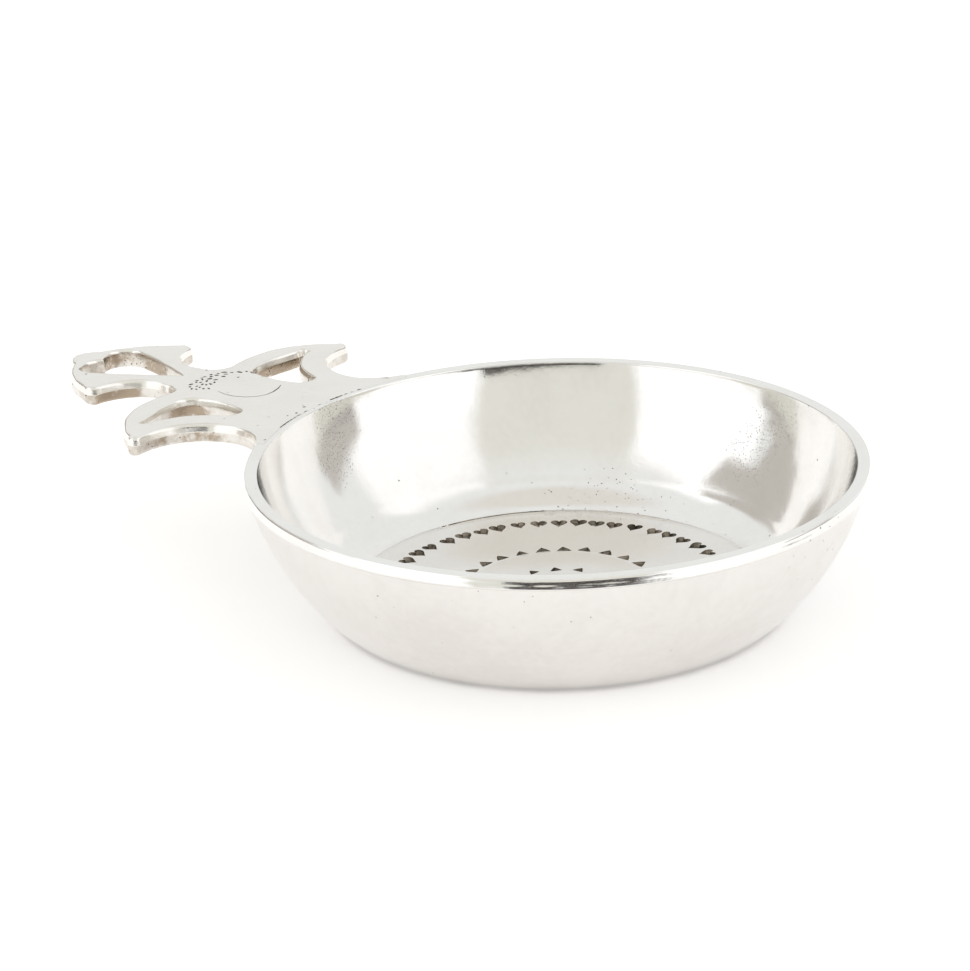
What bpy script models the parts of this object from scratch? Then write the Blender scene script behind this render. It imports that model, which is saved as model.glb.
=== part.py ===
# Wine taster: a shallow turned pewter bowl with one flat pierced ear, soldered on level with the rim.
# Metres, +Z up. The origin is the middle of the base on the table, and the ear points along -X.
import math

import bmesh
import bpy

MM = 0.001

# Bowl, turned about Z
RIM_RADIUS = 52.0 * MM
BOWL_HEIGHT = 25.0 * MM
BASE_RADIUS = 37.5 * MM
BASE_ROUNDING = 0.9 * MM
WALL_BOW = 2.4 * MM
WALL = 2.0 * MM
FLOOR = 2.3 * MM
FLOOR_RADIUS = 34.3 * MM
FLOOR_COVE = 4.2 * MM
COVE_HOLLOW = 0.7 * MM
LIP_ROUNDING = 0.35 * MM
LIP_BAND = 0.8 * MM
BOWL_SIDES = 80

# Ear, a flat plate: distances out along the ear are measured from the rim
EAR_THICKNESS = 3.5 * MM
EAR_ROUNDING = 0.6 * MM
EAR_REACH = 53.8 * MM
NECK_WIDTH = 31.6 * MM
NECK_HOLLOW = 10.7 * MM
NECK_OUT = 4.0 * MM
ROOT_HOLLOW = 9.5 * MM
NECK_TURN = math.radians(10)
SIDE_SPAN = 59.0 * MM
SIDE_CREST = 26.0 * MM
SIDE_HORN = 2.8 * MM
SIDE_BOW = 2.0 * MM
VALLEY_DROP = 0.5 * MM
VALLEY_WIDTH = 3.4 * MM
VALLEY_HOLLOW = 1.2 * MM
WAIST_WIDTH = 10.4 * MM
WAIST_LENGTH = 3.4 * MM
WAIST_HOLLOW = 2.9 * MM
END_SPAN = 27.4 * MM
END_HORN = 3.0 * MM
END_LENGTH = 13.0 * MM
END_BOW = 1.1 * MM
HORN_BOW = 0.7 * MM
NOSE_WIDTH = 7.2 * MM
NOSE_OUT = 2.6 * MM
NOSE_BOW = 0.5 * MM

# Piercings: the bands of metal left round them
SIDE_BAND = 4.8 * MM
MIDDLE_WIDTH = 15.0 * MM
HORN_TIP = 6.8 * MM
ROOT_BAND = 8.2 * MM
HOLE_CORNER = 1.2 * MM
HOLE_TURN = 4.0 * MM
HOLE_SLANT = 2.2 * MM
HOLE_EASE = 0.6 * MM
HOLE_END_BOW = 1.0 * MM
HOLE_SIDE_BOW = 0.7 * MM
HEART_BAND = 5.0 * MM
HEART_WIDTH = 13.6 * MM
HEART_LENGTH = 19.4 * MM
HEART_NOTCH = 1.4 * MM
HEART_CHEEK = 4.6 * MM
HEART_CROWN_BOW = 1.5 * MM
HEART_SIDE_BOW = 0.4 * MM

# Joint of ear and bowl: a seat cut in the lip, a tongue that lies in it, and solder under the ear
CLEARANCE = 0.3 * MM
TONGUE_LAP = 1.2 * MM
TONGUE_THICKNESS = 2.0 * MM
SOLDER_LEG = 2.6 * MM
SOLDER_HOLLOW = 0.5 * MM
SOLDER_SHORT = math.radians(2)
GUIDE_SPARE = 3.0 * MM

PEWTER = ((0.84, 0.81, 0.77), 0.18)
SOLDER = ((0.55, 0.53, 0.50), 0.40)


def bow(start, end, rise, steps):
    """Points on the arc from start to end that bows out by rise to the left; the start is left out."""
    (x0, y0), (x1, y1) = start, end
    half = math.hypot(x1 - x0, y1 - y0) / 2
    along = ((x1 - x0) / (2 * half), (y1 - y0) / (2 * half))
    left = (-along[1], along[0])
    spread = 2 * math.atan2(rise, half)
    radius = half / math.sin(spread)
    points = []
    for step in range(1, steps + 1):
        angle = spread * (2 * step / steps - 1)
        forward = half + radius * math.sin(angle)
        aside = radius * (math.cos(angle) - math.cos(spread))
        points.append((x0 + forward * along[0] + aside * left[0], y0 + forward * along[1] + aside * left[1]))
    return points


def round_arc(centre, radius, first, last, steps):
    """Points on a circle about centre from the angle first to the angle last, both included."""
    angles = [first + (last - first) * step / steps for step in range(steps + 1)]
    return [(centre[0] + radius * math.cos(a), centre[1] + radius * math.sin(a)) for a in angles]


def outer_wall_arc():
    """Centre and radius of the bowl's outer wall, an arc from the base edge to the rim."""
    chord = math.hypot(RIM_RADIUS - BASE_RADIUS, BOWL_HEIGHT)
    radius = chord * chord / (8 * WALL_BOW) + WALL_BOW / 2
    to_rim = ((RIM_RADIUS - BASE_RADIUS) / chord, BOWL_HEIGHT / chord)
    inward = (-to_rim[1], to_rim[0])
    middle = ((RIM_RADIUS + BASE_RADIUS) / 2, BOWL_HEIGHT / 2)
    back = radius - WALL_BOW
    return (middle[0] + back * inward[0], middle[1] + back * inward[1]), radius


def wall_radius(height, inset):
    """Distance from the axis to the wall at a height, inset from its outer face."""
    centre, radius = outer_wall_arc()
    return centre[0] + math.sqrt((radius - inset) ** 2 - (height - centre[1]) ** 2)


def wall_points(low, high, inset, steps):
    """Points on the wall's arc from the height low to the height high, both included."""
    heights = [low + (high - low) * step / steps for step in range(steps + 1)]
    return [(wall_radius(height, inset), height) for height in heights]


def bowl_profile():
    """Half section of the bowl, from the middle of its floor over the lip to the middle of its base."""
    under_lip = BOWL_HEIGHT - LIP_ROUNDING
    inner_wall = wall_points(FLOOR + FLOOR_COVE, under_lip, WALL, 8)
    floor_edge = (FLOOR_RADIUS, FLOOR)
    points = [(0.0, FLOOR), floor_edge]
    points += bow(floor_edge, inner_wall[0], -COVE_HOLLOW, 4)
    points += inner_wall[1:]
    points += bow(points[-1], (points[-1][0] + LIP_ROUNDING, BOWL_HEIGHT), LIP_ROUNDING / 5, 2)
    points += [(RIM_RADIUS - LIP_ROUNDING, BOWL_HEIGHT)]
    points += bow(points[-1], (RIM_RADIUS, under_lip), LIP_ROUNDING / 5, 2)
    points += [(RIM_RADIUS, BOWL_HEIGHT - LIP_BAND)]
    points += list(reversed(wall_points(BASE_ROUNDING, BOWL_HEIGHT - LIP_BAND - LIP_ROUNDING, 0, 9)))
    base_edge = (BASE_RADIUS - BASE_ROUNDING, 0.0)
    points += bow(points[-1], base_edge, BASE_ROUNDING / 8, 2)
    return points + [(0.0, 0.0)]


def new_object(name, mesh_maker, paint):
    """An object of the mesh that mesh_maker fills in, with a material of its own."""
    mesh = bpy.data.meshes.new(name)
    shape = bmesh.new()
    mesh_maker(shape)
    bmesh.ops.recalc_face_normals(shape, faces=shape.faces)
    shape.to_mesh(mesh)
    shape.free()
    thing = bpy.data.objects.new(name, mesh)
    bpy.context.collection.objects.link(thing)
    if paint:
        colour, roughness = paint
        material = bpy.data.materials.new(name)
        material.use_nodes = True
        shader = material.node_tree.nodes["Principled BSDF"]
        shader.inputs["Base Color"].default_value = (*colour, 1.0)
        shader.inputs["Roughness"].default_value = roughness
        shader.inputs["Metallic"].default_value = 1.0
        mesh.materials.append(material)
    mesh.shade_smooth()
    mesh.set_sharp_from_angle(angle=math.radians(35))
    return thing


def cut(thing, cutter):
    """Cut the cutter's shape out of a thing; the cutter itself stays as a guide."""
    cutter.hide_render = True
    cutter.display_type = "WIRE"
    trim = thing.modifiers.new("cut_" + cutter.name, "BOOLEAN")
    trim.operation = "DIFFERENCE"
    trim.object = cutter


def ring_of(shape, outline, height):
    """A loop of vertices along a plan outline at one height, with the ear pointing along -X."""
    return [shape.verts.new((-along, across, height)) for along, across in outline]


def skin(shape, rings):
    """Quads between each ring of vertices and the next."""
    for low, high in zip(rings, rings[1:]):
        count = len(low)
        for here in range(count):
            there = (here + 1) % count
            shape.faces.new((low[here], low[there], high[there], high[here]))


def prism(shape, outline, low, high):
    """A solid of one plan outline between two heights."""
    rings = [ring_of(shape, outline, low), ring_of(shape, outline, high)]
    skin(shape, rings)
    for ring in rings:
        shape.faces.new(ring)


def shrink(outline, distance):
    """The outline moved to its left by a distance, corner by corner."""
    moved = []
    for index, point in enumerate(outline):
        before, after = outline[index - 1], outline[(index + 1) % len(outline)]
        normals = []
        for (xa, ya), (xb, yb) in ((before, point), (point, after)):
            length = math.hypot(xb - xa, yb - ya)
            normals.append(((ya - yb) / length, (xb - xa) / length))
        lean = 1 + normals[0][0] * normals[1][0] + normals[0][1] * normals[1][1]
        shift = distance / max(lean, 0.5)
        moved.append((point[0] + shift * (normals[0][0] + normals[1][0]),
                      point[1] + shift * (normals[0][1] + normals[1][1])))
    return moved


def rounded_plate(shape, outline, holes, low, high, rounding):
    """A plate with pierced holes whose upper and lower edges are rounded over."""
    soft = rounding * (1 - math.sqrt(0.5))
    steps = [(low, rounding), (low + soft, soft), (low + rounding, 0.0)]
    steps += [(high - rounding, 0.0), (high - soft, soft), (high, rounding)]
    bottom, top = [], []
    for loop in [outline] + holes:
        rings = [ring_of(shape, shrink(loop, inset), height) for height, inset in steps]
        skin(shape, rings)
        bottom += edges_of(rings[0])
        top += edges_of(rings[-1])
    bmesh.ops.triangle_fill(shape, edges=bottom, use_beauty=True)
    bmesh.ops.triangle_fill(shape, edges=top, use_beauty=True)


def edges_of(ring):
    """The edges that join a ring's vertices one after another."""
    found = []
    for here, vertex in enumerate(ring):
        other = ring[(here + 1) % len(ring)]
        found.append(next(edge for edge in vertex.link_edges if edge.other_vert(vertex) is other))
    return found


def hollow_centre(hollow):
    """Middle of a round hollow that ends at the neck's narrowest place."""
    return RIM_RADIUS + NECK_OUT, NECK_WIDTH / 2 + hollow


def root_angle():
    """Half angle of the rim that the ear's neck covers: where the root's hollow meets the rim."""
    along, across = hollow_centre(ROOT_HOLLOW)
    reach = math.hypot(along, across)
    inside = (reach * reach + RIM_RADIUS ** 2 - ROOT_HOLLOW ** 2) / (2 * reach * RIM_RADIUS)
    return math.atan2(across, along) - math.acos(min(inside, 1.0))


def ear_outline():
    """Plan of the ear, counter-clockwise: the root along the rim, then one side and its mirror image."""
    root_centre = hollow_centre(ROOT_HOLLOW)
    root = root_angle()
    meet = (RIM_RADIUS * math.cos(root), RIM_RADIUS * math.sin(root))
    first = math.atan2(meet[1] - root_centre[1], meet[0] - root_centre[0])
    side = round_arc(root_centre, ROOT_HOLLOW, first, -math.pi / 2, 6)
    side += round_arc(hollow_centre(NECK_HOLLOW), NECK_HOLLOW, -math.pi / 2, NECK_TURN, 10)[1:]
    crest = RIM_RADIUS + SIDE_CREST
    horn_end = (side[-1][0] + SIDE_HORN, side[-1][1])
    side += bow(side[-1], horn_end, SIDE_SPAN / 2 - horn_end[1], 4)
    shoulder = (crest, SIDE_SPAN / 4)
    side += bow(side[-1], shoulder, SIDE_BOW, 7)
    valley = (crest - VALLEY_DROP, WAIST_WIDTH / 2 + VALLEY_WIDTH)
    side += bow(shoulder, valley, VALLEY_DROP / 2, 2)
    waist = (crest + WAIST_LENGTH - VALLEY_DROP, WAIST_WIDTH / 2)
    side += bow(valley, waist, -VALLEY_HOLLOW, 4)
    nose = (RIM_RADIUS + EAR_REACH, 0.0)
    nose_foot = (nose[0] - NOSE_OUT, NOSE_WIDTH / 2)
    end_tip = nose_foot[0] - END_LENGTH
    horn_start = (end_tip, END_SPAN / 2 - HORN_BOW)
    side += bow(waist, horn_start, -WAIST_HOLLOW, 7)
    horn_end = (end_tip + END_HORN, END_SPAN / 2 - HORN_BOW)
    side += bow(horn_start, horn_end, HORN_BOW, 3)
    side += bow(horn_end, nose_foot, END_BOW, 6)
    side += bow(nose_foot, nose, NOSE_BOW, 3)
    root_radius = RIM_RADIUS - TONGUE_LAP
    lap = round_arc((0.0, 0.0), root_radius, -root, root, 12)
    mirror = [(along, -across) for along, across in reversed(side[:-1])]
    return list(reversed(lap + side + mirror))


def side_hole():
    """Plan of the piercing in one side lobe, between the neck's hollow and the crest."""
    centre = hollow_centre(NECK_HOLLOW)
    inner = NECK_HOLLOW + SIDE_BAND
    low = MIDDLE_WIDTH / 2
    apex = SIDE_SPAN / 2 - HORN_TIP
    outer = RIM_RADIUS + SIDE_CREST - SIDE_BAND
    root = RIM_RADIUS + ROOT_BAND
    edge_first = math.acos((root + HOLE_CORNER - centre[0]) / inner)
    edge_last = math.asin((centre[1] - apex + HOLE_CORNER) / inner)
    edge = round_arc(centre, inner, -edge_first, -edge_last, 6)
    top = (outer - HOLE_CORNER, apex - HOLE_CORNER)
    turn = (outer, low + HOLE_TURN)
    corner = (outer - HOLE_SLANT, low + HOLE_EASE)
    foot = (root + HOLE_CORNER, low + HOLE_EASE)
    points = list(edge)
    points += bow(edge[-1], top, HOLE_END_BOW, 4)
    points += bow(top, turn, HOLE_SIDE_BOW / 2, 4)
    points += bow(turn, corner, HOLE_SIDE_BOW, 3)
    points += bow(corner, foot, HOLE_SIDE_BOW, 4)
    points += bow(foot, edge[0], HOLE_END_BOW, 4)[:-1]
    return points


def heart_hole():
    """Plan of the heart in the end lobe, its point towards the bowl."""
    crown = RIM_RADIUS + EAR_REACH - HEART_BAND
    point = (crown - HEART_LENGTH, 0.0)
    cheek = (crown - HEART_CHEEK, HEART_WIDTH / 2 - HEART_SIDE_BOW)
    top = (crown, HEART_WIDTH / 4)
    notch = (crown - HEART_NOTCH, 0.0)
    side = [point]
    side += bow(point, cheek, HEART_SIDE_BOW, 5)
    side += bow(cheek, top, HEART_CROWN_BOW, 5)
    side += bow(top, notch, HEART_SIDE_BOW, 3)
    mirror = [(along, -across) for along, across in reversed(side[1:-1])]
    return side + mirror


def solder_ring(shape):
    """Fillet of solder in the corner under the ear, against the bowl's wall."""
    under = BOWL_HEIGHT - EAR_THICKNESS - CLEARANCE
    wall_top = wall_radius(under, 0) + CLEARANCE
    wall_low = wall_radius(under - SOLDER_LEG, 0) + CLEARANCE
    section = [(wall_top, under), (wall_low, under - SOLDER_LEG)]
    section += bow(section[1], (wall_top + SOLDER_LEG, under), SOLDER_HOLLOW, 4)
    sweep = root_angle() - SOLDER_SHORT
    rings = []
    for step in range(25):
        angle = sweep * (step / 12 - 1)
        rings.append([shape.verts.new((-r * math.cos(angle), r * math.sin(angle), z)) for r, z in section])
    skin(shape, rings)
    shape.faces.new(rings[0])
    shape.faces.new(rings[-1])


def turned_half_section(shape):
    """The bowl's half section as a chain of edges, to be turned about Z."""
    verts = [shape.verts.new((radius, 0.0, height)) for radius, height in bowl_profile()]
    for here, there in zip(verts, verts[1:]):
        shape.edges.new((here, there))


def build_bowl():
    bowl = new_object("bowl", turned_half_section, PEWTER)
    turn = bowl.modifiers.new("turn", "SCREW")
    turn.steps = BOWL_SIDES
    turn.render_steps = BOWL_SIDES
    turn.use_merge_vertices = True
    turn.merge_threshold = 0.00001
    half = root_angle() + CLEARANCE / RIM_RADIUS
    inner = RIM_RADIUS - TONGUE_LAP - CLEARANCE
    seat = round_arc((0.0, 0.0), inner, -half, half, 12)
    seat += round_arc((0.0, 0.0), RIM_RADIUS + GUIDE_SPARE, half, -half, 12)
    seat_height = BOWL_HEIGHT - TONGUE_THICKNESS - CLEARANCE
    cut(bowl, new_object("seat_guide", lambda s: prism(s, seat, seat_height, BOWL_HEIGHT + GUIDE_SPARE), None))
    return bowl


def build_ear():
    low = BOWL_HEIGHT - EAR_THICKNESS
    mirrored = [(along, -across) for along, across in reversed(side_hole())]
    holes = [side_hole(), mirrored, heart_hole()]
    ear = new_object(
        "ear", lambda s: rounded_plate(s, ear_outline(), holes, low, BOWL_HEIGHT, EAR_ROUNDING), PEWTER)
    lap = round_arc((0.0, 0.0), RIM_RADIUS + CLEARANCE, -math.pi / 3, math.pi / 3, 48)
    guide = [(0.0, 0.0)] + lap
    under_tongue = BOWL_HEIGHT - TONGUE_THICKNESS
    cut(ear, new_object("tongue_guide", lambda s: prism(s, guide, low - GUIDE_SPARE, under_tongue), None))
    return ear


def main():
    for thing in list(bpy.data.objects):
        bpy.data.objects.remove(thing)
    build_bowl()
    build_ear()
    new_object("solder_fillet", solder_ring, SOLDER)


main()
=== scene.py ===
import math
import random

import bmesh
import bpy
from mathutils import Matrix, Vector, noise
from mathutils.geometry import delaunay_2d_cdt


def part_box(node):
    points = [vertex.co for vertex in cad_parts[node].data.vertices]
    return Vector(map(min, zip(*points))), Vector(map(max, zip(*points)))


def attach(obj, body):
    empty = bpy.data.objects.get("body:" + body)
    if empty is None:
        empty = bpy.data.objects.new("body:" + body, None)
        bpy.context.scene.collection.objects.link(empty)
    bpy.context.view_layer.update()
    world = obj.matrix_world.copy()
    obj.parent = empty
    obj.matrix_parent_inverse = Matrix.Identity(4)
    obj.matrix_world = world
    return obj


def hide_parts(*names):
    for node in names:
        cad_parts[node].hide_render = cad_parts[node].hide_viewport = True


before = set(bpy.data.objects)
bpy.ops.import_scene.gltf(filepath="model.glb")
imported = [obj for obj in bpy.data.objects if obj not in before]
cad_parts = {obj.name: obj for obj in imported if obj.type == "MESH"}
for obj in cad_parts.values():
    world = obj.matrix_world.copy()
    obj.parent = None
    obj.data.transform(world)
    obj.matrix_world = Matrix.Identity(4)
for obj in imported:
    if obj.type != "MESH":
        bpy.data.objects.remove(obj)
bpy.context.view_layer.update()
mm = 0.001
rimRadius = 52.0 * mm
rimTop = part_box("bowl")[1].z
dice = random.Random(31)
noise.seed_set(31)  # or the ear's lumps would start from the clock
print("frame loaded, rim at", round(rimTop / mm, 2), "mm")

# Camera: at the photo's height, looking over the rim with the ear behind on the left
cameraView = dict(
    azimuth=35.5, elevation=22.863, distance=605.66 * mm,
    pan=1.148, tilt=1.8289, roll=-1.3063,
    focalPixels=3600.0, imageHeight=971.0, sensor=36.0, clip=(0.01, 20.0),
)


def placeCamera(view):
    data = bpy.data.cameras.new("tableCamera")
    data.sensor_width = view["sensor"]
    data.lens = view["focalPixels"] / view["imageHeight"] * view["sensor"]
    data.clip_start, data.clip_end = view["clip"]
    camera = bpy.data.objects.new("tableCamera", data)
    bpy.context.scene.collection.objects.link(camera)
    turn = math.radians(view["azimuth"])
    lift = math.radians(view["elevation"])
    place = Matrix.Rotation(turn, 3, "Z") @ Vector((0, -math.cos(lift), math.sin(lift)))
    aim = Matrix.Rotation(turn, 3, "Z") @ Matrix.Rotation(math.pi / 2 - lift, 3, "X")
    aim = aim @ Matrix.Rotation(math.radians(view["pan"]), 3, "Y")
    aim = aim @ Matrix.Rotation(math.radians(view["tilt"]), 3, "X")
    aim = aim @ Matrix.Rotation(math.radians(view["roll"]), 3, "Z")
    camera.matrix_world = Matrix.Translation(place * view["distance"]) @ aim.to_4x4()
    bpy.context.scene.camera = camera


placeCamera(cameraView)
print("camera placed")


# Outline tools, all in plan: x and y in metres
quarterBow = 0.29  # rise of a quarter round, as a share of its radius


def turnsRound(sides):
    return [2 * math.pi * side / sides for side in range(sides)]


def arcBetween(start, end, rise, steps):
    # arc that bows out to the left by rise, without its first point
    half = math.hypot(end[0] - start[0], end[1] - start[1]) / 2
    ahead = ((end[0] - start[0]) / (2 * half), (end[1] - start[1]) / (2 * half))
    left = (-ahead[1], ahead[0])
    spread = 2 * math.atan2(rise, half)
    radius = half / math.sin(spread)
    points = []
    for step in range(1, steps + 1):
        angle = spread * (2 * step / steps - 1)
        along = half + radius * math.sin(angle)
        aside = radius * (math.cos(angle) - math.cos(spread))
        points.append((start[0] + along * ahead[0] + aside * left[0],
                       start[1] + along * ahead[1] + aside * left[1]))
    return points


def lineBetween(start, end, steps):
    shares = [step / steps for step in range(1, steps + 1)]
    return [(start[0] + (end[0] - start[0]) * s, start[1] + (end[1] - start[1]) * s) for s in shares]


def roundArc(centre, radius, first, last, steps):
    angles = [first + (last - first) * step / steps for step in range(steps + 1)]
    return [(centre[0] + radius * math.cos(a), centre[1] + radius * math.sin(a)) for a in angles]


def moveLeft(outline, distance):
    # every side moved to its left; the limit keeps sharp corners from running away
    moved, limit = [], 0.5
    for index, point in enumerate(outline):
        before, after = outline[index - 1], outline[(index + 1) % len(outline)]
        normals = []
        for a, b in ((before, point), (point, after)):
            length = math.hypot(b[0] - a[0], b[1] - a[1])
            normals.append(((a[1] - b[1]) / length, (b[0] - a[0]) / length))
        lean = 1 + normals[0][0] * normals[1][0] + normals[0][1] * normals[1][1]
        shift = distance / max(lean, limit)
        moved.append((point[0] + shift * (normals[0][0] + normals[1][0]),
                      point[1] + shift * (normals[0][1] + normals[1][1])))
    return moved


# Mesh tools
def ring(shape, outline, height):
    return [shape.verts.new((x, y, height)) for x, y in outline]


def skinRings(shape, rings, material=0):
    for low, high in zip(rings, rings[1:]):
        count = len(low)
        for here in range(count):
            there = (here + 1) % count
            face = shape.faces.new((low[here], low[there], high[there], high[here]))
            face.material_index = material


def fillFlat(shape, height, outer, holes, marks):
    # flat metal between rings of vertices, left open at each mark; gives the marks' own rings
    markRings = [ring(shape, mark, height) for mark in marks]
    loops = [outer] + holes + markRings
    verts = [v for loop in loops for v in loop]
    coords = [Vector((v.co.x, v.co.y)) for v in verts]
    faces, start = [], 0
    for loop in loops:
        order = list(range(start, start + len(loop)))
        spin = sum(coords[a].cross(coords[b]) for a, b in zip(order, order[1:] + order[:1]))
        faces.append(order if spin > 0 else order[::-1])
        start += len(loop)
    onePoint = 1e-9  # corners closer than this are the same
    found, _, triangles, origins, _, insides = delaunay_2d_cdt(coords, [], faces, 0, onePoint)
    made = [verts[o[0]] if o else shape.verts.new((p.x, p.y, height)) for p, o in zip(found, origins)]
    for triangle, inside in zip(triangles, insides):
        if list(inside) == [0]:
            corners = [made[i] for i in triangle]
            if len(set(corners)) == 3:
                shape.faces.new(corners)
    return markRings


def sink(shape, loop, depth, steps, material, floorMaterial=None):
    # a punched mark: rings that close in and go down, then a floor
    middle = sum((v.co for v in loop), Vector()) / len(loop)
    last = loop
    for share, fall in steps:
        down = Vector((0, 0, depth * fall))
        below = [shape.verts.new(middle + (v.co - middle) * share - down) for v in loop]
        skinRings(shape, [last, below], material)
        last = below
    shape.faces.new(last).material_index = material if floorMaterial is None else floorMaterial


def newPiece(name, shape, materials):
    bmesh.ops.recalc_face_normals(shape, faces=shape.faces)
    mesh = bpy.data.meshes.new(name)
    shape.to_mesh(mesh)
    shape.free()
    for material in materials:
        mesh.materials.append(material)
    piece = bpy.data.objects.new(name, mesh)
    bpy.context.scene.collection.objects.link(piece)
    return piece


def carve(piece, guide):
    # takes the guide's shape out of a piece for good
    trim = piece.modifiers.new("trim", "BOOLEAN")
    trim.operation, trim.solver, trim.object = "DIFFERENCE", "EXACT", guide
    graph = bpy.context.evaluated_depsgraph_get()
    carved = bpy.data.meshes.new_from_object(piece.evaluated_get(graph))
    piece.modifiers.remove(trim)
    piece.data = carved
    bpy.data.objects.remove(guide)


def settle(piece, sharp, slot, *nodes):
    piece.data.shade_smooth()
    piece.data.set_sharp_from_angle(angle=math.radians(sharp))
    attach(piece, "root")
    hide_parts(*nodes)
    print("made", piece.name, "with", len(piece.data.polygons), "faces")


# Shader tools
def addNode(tree, kind, values=None, links=None, **settings):
    node = tree.nodes.new("ShaderNode" + kind)
    for key, value in settings.items():
        setattr(node, key, value)
    for key, value in (values or {}).items():
        node.inputs[key].default_value = value
    for key, socket in (links or {}).items():
        tree.links.new(socket, node.inputs[key])
    return node


def calc(tree, operation, *terms):
    node = tree.nodes.new("ShaderNodeMath")
    node.operation = operation
    for place, term in enumerate(terms):
        if isinstance(term, (int, float)):
            node.inputs[place].default_value = term
        else:
            tree.links.new(term, node.inputs[place])
    return node.outputs[0]


def fade(tree, value, low, high):
    # 0 below low, 1 above high; the other way round when high is the smaller
    span = {"From Min": min(low, high), "From Max": max(low, high)}
    node = addNode(tree, "MapRange", span, {"Value": value}, interpolation_type="SMOOTHSTEP")
    if low > high:
        node.inputs["To Min"].default_value, node.inputs["To Max"].default_value = 1.0, 0.0
    return node.outputs["Result"]


def mixColour(tree, factor, first, second):
    node = tree.nodes.new("ShaderNodeMix")
    node.data_type = "RGBA"
    for place, term in ((0, factor), (6, first), (7, second)):
        if isinstance(term, bpy.types.NodeSocket):
            tree.links.new(term, node.inputs[place])
        else:
            node.inputs[place].default_value = term if place == 0 else (*term, 1)
    return node.outputs[2]


def newGroup(name, inputs, outputs):
    tree = bpy.data.node_groups.new(name, "ShaderNodeTree")
    for side, sockets in (("INPUT", inputs), ("OUTPUT", outputs)):
        for label, kind in sockets:
            tree.interface.new_socket(name=label, in_out=side, socket_type="NodeSocket" + kind)
    return tree, tree.nodes.new("NodeGroupInput"), tree.nodes.new("NodeGroupOutput")


def useGroup(tree, group, values):
    node = tree.nodes.new("ShaderNodeGroup")
    node.node_tree = group
    for key, value in values.items():
        node.inputs[key].default_value = value
    return node


def makeCastSkin():
    # fine grain of cast and burnished metal, rougher in patches, over a slow unevenness
    tree, given, out = newGroup("castSkin", [("Grain", "Float"), ("Patches", "Float"), ("Swell", "Float")],
                                [("Height", "Float"), ("Patch", "Float")])
    where = addNode(tree, "TexCoord").outputs["Object"]
    fine = addNode(tree, "TexNoise", {"Scale": 2600.0, "Detail": 2.0, "Roughness": 0.6}, {"Vector": where})
    slow = addNode(tree, "TexNoise", {"Scale": 330.0, "Detail": 2.0, "Roughness": 0.5}, {"Vector": where})
    blotch = addNode(tree, "TexNoise", {"Scale": 70.0, "Detail": 3.0, "Roughness": 0.55}, {"Vector": where})
    patch = fade(tree, blotch.outputs["Fac"], 0.5, 0.68)
    amount = calc(tree, "MULTIPLY_ADD", patch, given.outputs["Patches"], given.outputs["Grain"])
    height = calc(tree, "MULTIPLY", fine.outputs["Fac"], amount)
    height = calc(tree, "MULTIPLY_ADD", slow.outputs["Fac"], given.outputs["Swell"], height)
    tree.links.new(height, out.inputs["Height"])
    tree.links.new(patch, out.inputs["Patch"])
    return tree


def makePits():
    # scattered small pits, a share of the cells having one
    tree, given, out = newGroup("pits", [("Scale", "Float"), ("Share", "Float")], [("Mask", "Float")])
    where = addNode(tree, "TexCoord").outputs["Object"]
    stir = addNode(tree, "TexNoise", {"Scale": 900.0, "Detail": 1.0}, {"Vector": where})
    stray = (0.0006, 0.0006, 0.0006)  # how far a pit is pushed out of its cell, in metres
    push = addNode(tree, "VectorMath", {1: stray}, {0: stir.outputs["Color"]}, operation="MULTIPLY")
    spot = addNode(tree, "VectorMath", None, {0: where, 1: push.outputs[0]}, operation="ADD")
    cells = addNode(tree, "TexVoronoi", None, {"Vector": spot.outputs[0], "Scale": given.outputs["Scale"]})
    pick = addNode(tree, "SeparateColor", None, {"Color": cells.outputs["Color"]})
    chosen = calc(tree, "LESS_THAN", pick.outputs["Red"], given.outputs["Share"])
    reach = calc(tree, "MULTIPLY_ADD", pick.outputs["Green"], 0.25, 0.16)  # pits of different sizes
    depth = fade(tree, calc(tree, "DIVIDE", cells.outputs["Distance"], reach), 1.0, 0.55)
    tree.links.new(calc(tree, "MULTIPLY", depth, chosen), out.inputs["Mask"])
    return tree


def makeTarnish():
    # clean metal clouding over to a warmer, darker film
    inputs = [("Clean", "Color"), ("Film", "Color"), ("Amount", "Float"), ("Scale", "Float")]
    tree, given, out = newGroup("tarnish", inputs, [("Colour", "Color"), ("Film Mask", "Float")])
    where = addNode(tree, "TexCoord").outputs["Object"]
    cloud = addNode(tree, "TexNoise", {"Detail": 5.0, "Roughness": 0.62},
                    {"Vector": where, "Scale": given.outputs["Scale"]})
    speck = addNode(tree, "TexNoise", {"Scale": 850.0, "Detail": 3.0, "Roughness": 0.6}, {"Vector": where})
    film = calc(tree, "MULTIPLY_ADD", speck.outputs["Fac"], 0.45, cloud.outputs["Fac"])
    film = calc(tree, "MULTIPLY", fade(tree, film, 0.55, 1.0), given.outputs["Amount"])
    colour = mixColour(tree, film, given.outputs["Clean"], given.outputs["Film"])
    tree.links.new(colour, out.inputs["Colour"])
    tree.links.new(film, out.inputs["Film Mask"])
    return tree


castSkin, pits, tarnish = makeCastSkin(), makePits(), makeTarnish()
metalLook = dict(
    metallic=0.95,  # the thin oxide scatters a little light
    pitRough=0.3, placeCore=0.35,
)


def nearPlace(tree, where, place, reach):
    # 1 in the core of a place on the cup, 0 beyond its reach, both given in millimetres
    spot = tuple(part * mm for part in place)
    gap = addNode(tree, "VectorMath", {1: spot}, {0: where}, operation="DISTANCE").outputs["Value"]
    return fade(tree, gap, reach * mm, reach * mm * metalLook["placeCore"])


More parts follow.
